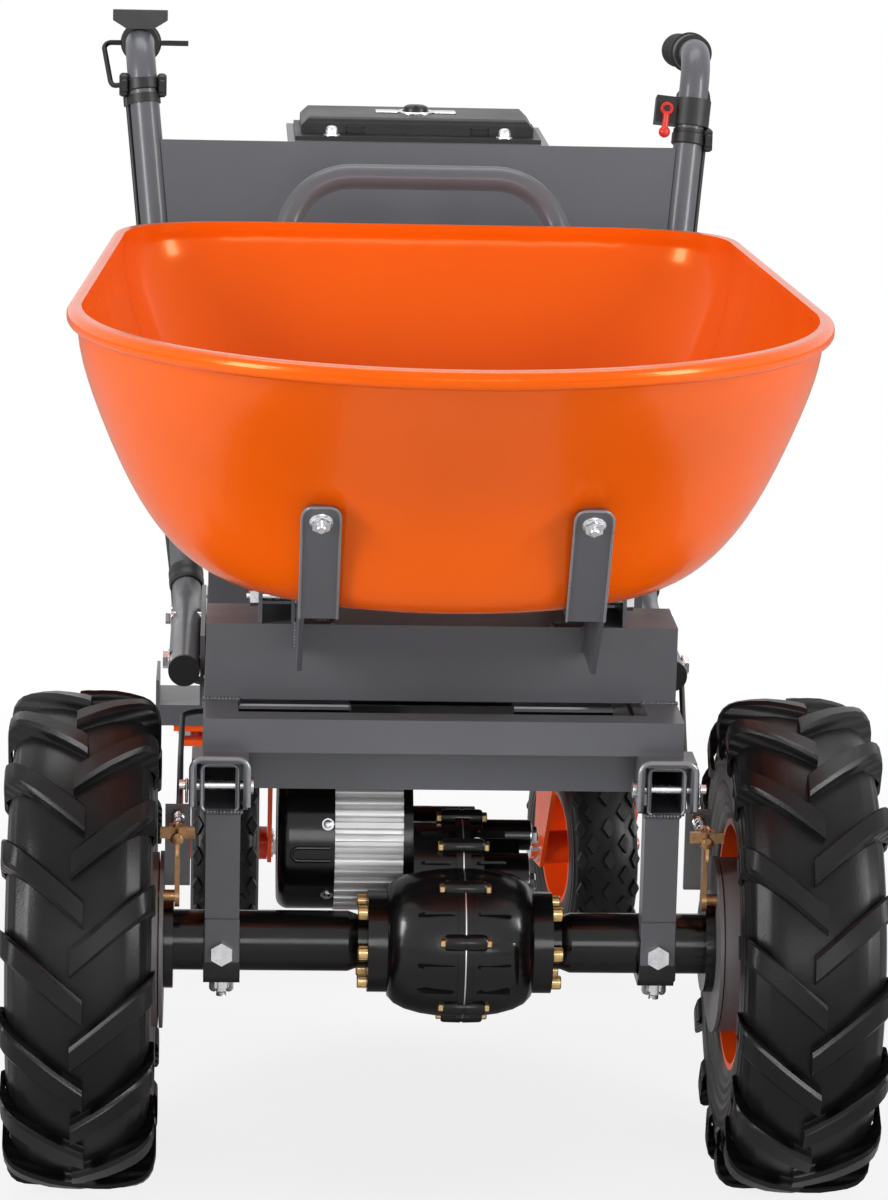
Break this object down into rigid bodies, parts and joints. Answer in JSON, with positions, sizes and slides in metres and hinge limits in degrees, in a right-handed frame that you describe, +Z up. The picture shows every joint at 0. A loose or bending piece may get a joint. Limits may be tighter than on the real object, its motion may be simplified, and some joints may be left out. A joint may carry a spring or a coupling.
{
  "type": "electric wheelbarrow",
  "caption": "Walk-behind electric wheelbarrow: moulded tub on a tipping steel frame, lugged drive wheels on a motor axle with drum brakes, rear swivel casters, handles with throttle and brake.",
  "frame": {"origin": "on the ground, in the middle of the overall box", "axes": "+Z up, the tub end faces -Y and the grips point to +Y, +X is on the right of someone facing the front of the tub"},
  "size_m": [0.707, 1.2132, 0.9024],
  "materials": {
    "tub_orange": "gloss paint on pressed sheet",
    "frame_grey": "satin powder coat",
    "drive_black": "gloss black paint",
    "motor_aluminium": "extruded, satin",
    "zinc_steel": "zinc plated",
    "yellow_zinc": "yellow zinc plated",
    "steel": "machined",
    "drum_grey": "machined and dusty",
    "tyre_black": "matte",
    "rim_orange": "gloss paint",
    "plastic_black": "moulded",
    "plastic_grey": "moulded",
    "plastic_white": "moulded",
    "plastic_red": "moulded",
    "rubber_black": "matte",
    "fibre": "pressed fibre",
    "silver_line": "bare edge"
  },
  "bodies": {
    "chassis": {"chassis_frame": "frame_grey", "caster_beam": "frame_grey", "axle_legs": "frame_grey", "axle_tubes": "drive_black", "frame_bolts": "zinc_steel", "gearbox_case_left": "drive_black", "gearbox_case_right": "drive_black", "gearbox_gasket": "silver_line", "gearbox_bolts": "yellow_zinc", "filler_plug": "plastic_white", "drive_bearings": "steel", "motor_body": "motor_aluminium", "motor_end_bells": "drive_black", "brake_plates": "drive_black", "brake_shoes": "fibre", "caster_plates": "rim_orange", "handle_tubes": "frame_grey", "handle_end_caps": "plastic_black", "grips": "rubber_black", "back_plate": "frame_grey", "console": "plastic_black", "battery_case": "plastic_black", "battery_pack": "plastic_grey", "motor_controller": "drive_black", "throttle_housing": "plastic_grey", "lever_perch": "plastic_black", "switch_box": "plastic_black", "hinge_pins": "zinc_steel", "rest_pads": "rubber_black", "brake_cables": "rubber_black", "leads": "rubber_black", "cable_bands": "rubber_black"},
    "tub": {"tub": "tub_orange", "tip_frame": "frame_grey", "box_beams": "frame_grey", "tub_bearers": "frame_grey", "front_straps": "frame_grey", "tub_bolts": "zinc_steel", "dump_hoop": "frame_grey"},
    "wheel_left": {"tyre_left": "tyre_black", "rim_left": "rim_orange", "hub_left": "drum_grey"},
    "wheel_right": {"tyre_right": "tyre_black", "rim_right": "rim_orange", "hub_right": "drum_grey"},
    "differential": {"diff_carrier": "steel"},
    "idler": {"idler_gear": "steel"},
    "rotor": {"motor_rotor": "steel"},
    "fork_left": {"caster_fork_left": "rim_orange"},
    "fork_right": {"caster_fork_right": "rim_orange"},
    "caster_left": {"caster_rim_left": "rim_orange", "caster_tyre_left": "tyre_black"},
    "caster_right": {"caster_rim_right": "rim_orange", "caster_tyre_right": "tyre_black"},
    "throttle": {"throttle_lever": "plastic_black"},
    "brake_lever": {"brake_lever": "plastic_black"},
    "brake_arm_left": {"brake_arm_left": "yellow_zinc"},
    "brake_arm_right": {"brake_arm_right": "yellow_zinc"},
    "direction_lever": {"direction_lever": "plastic_red"},
    "key_knob": {"key_knob": "plastic_black"}
  },
  "joints": [
    {"name": "tub_tip", "type": "hinge", "parent": "chassis", "child": "tub", "pos_m": [0, -0.35063, 0.344], "axis": [1, 0, 0], "range_deg": [0, 70]},
    {"name": "wheel_left_spin", "type": "hinge", "parent": "chassis", "child": "wheel_left", "pos_m": [-0.2925, -0.32462, 0.205], "axis": [1, 0, 0], "continuous": true},
    {"name": "wheel_right_spin", "type": "hinge", "parent": "chassis", "child": "wheel_right", "pos_m": [0.2925, -0.32462, 0.205], "axis": [1, 0, 0], "continuous": true},
    {"name": "differential_spin", "type": "hinge", "parent": "chassis", "child": "differential", "pos_m": [0.032, -0.32462, 0.205], "axis": [1, 0, 0], "continuous": true},
    {"name": "idler_spin", "type": "hinge", "parent": "chassis", "child": "idler", "pos_m": [0.01, -0.27563, 0.24299], "axis": [1, 0, 0], "continuous": true},
    {"name": "rotor_spin", "type": "hinge", "parent": "chassis", "child": "rotor", "pos_m": [-0.057, -0.23207, 0.27139], "axis": [1, 0, 0], "continuous": true},
    {"name": "caster_left_swivel", "type": "hinge", "parent": "chassis", "child": "fork_left", "pos_m": [-0.177, 0.27537, 0.236], "axis": [0, 0, 1], "continuous": true},
    {"name": "caster_right_swivel", "type": "hinge", "parent": "chassis", "child": "fork_right", "pos_m": [0.177, 0.27537, 0.236], "axis": [0, 0, 1], "continuous": true},
    {"name": "caster_left_spin", "type": "hinge", "parent": "fork_left", "child": "caster_left", "pos_m": [-0.177, 0.31338, 0.11], "axis": [1, 0, 0], "continuous": true},
    {"name": "caster_right_spin", "type": "hinge", "parent": "fork_right", "child": "caster_right", "pos_m": [0.1704, 0.3128, 0.11], "axis": [0.9848, 0.1736, 0], "continuous": true},
    {"name": "throttle_press", "type": "hinge", "parent": "chassis", "child": "throttle", "pos_m": [-0.268, 0.482, 0.86709], "axis": [0, 0.9973, -0.0735], "range_deg": [0, 40], "stiffness_Nm_per_rad": 0.15, "springref_deg": -17.19},
    {"name": "brake_squeeze", "type": "hinge", "parent": "chassis", "child": "brake_lever", "pos_m": [0.268, 0.46488, 0.83627], "axis": [1, 0, 0], "range_deg": [0, 12], "stiffness_Nm_per_rad": 2, "springref_deg": -11.46},
    {"name": "brake_arm_left_swing", "type": "hinge", "parent": "chassis", "child": "brake_arm_left", "pos_m": [-0.216, -0.35063, 0.25003], "axis": [1, 0, 0], "range_deg": [-18, 0]},
    {"name": "brake_arm_right_swing", "type": "hinge", "parent": "chassis", "child": "brake_arm_right", "pos_m": [0.216, -0.35063, 0.25003], "axis": [1, 0, 0], "range_deg": [-18, 0]},
    {"name": "direction_flip", "type": "hinge", "parent": "chassis", "child": "direction_lever", "pos_m": [0.23728, 0.38779, 0.82227], "axis": [0, -0.9637, 0.2672], "range_deg": [-18, 18]},
    {"name": "key_turn", "type": "hinge", "parent": "chassis", "child": "key_knob", "pos_m": [0, 0.47377, 0.809], "axis": [0, 0, 1], "range_deg": [0, 90]}
  ],
  "couplings": [
    {"joint": "idler_spin", "follows": "differential_spin", "ratio": -3.4286},
    {"joint": "rotor_spin", "follows": "differential_spin", "ratio": 11.429},
    {"joint": "brake_arm_left_swing", "follows": "brake_squeeze", "ratio": -1.5},
    {"joint": "brake_arm_right_swing", "follows": "brake_squeeze", "ratio": -1.5}
  ]
}
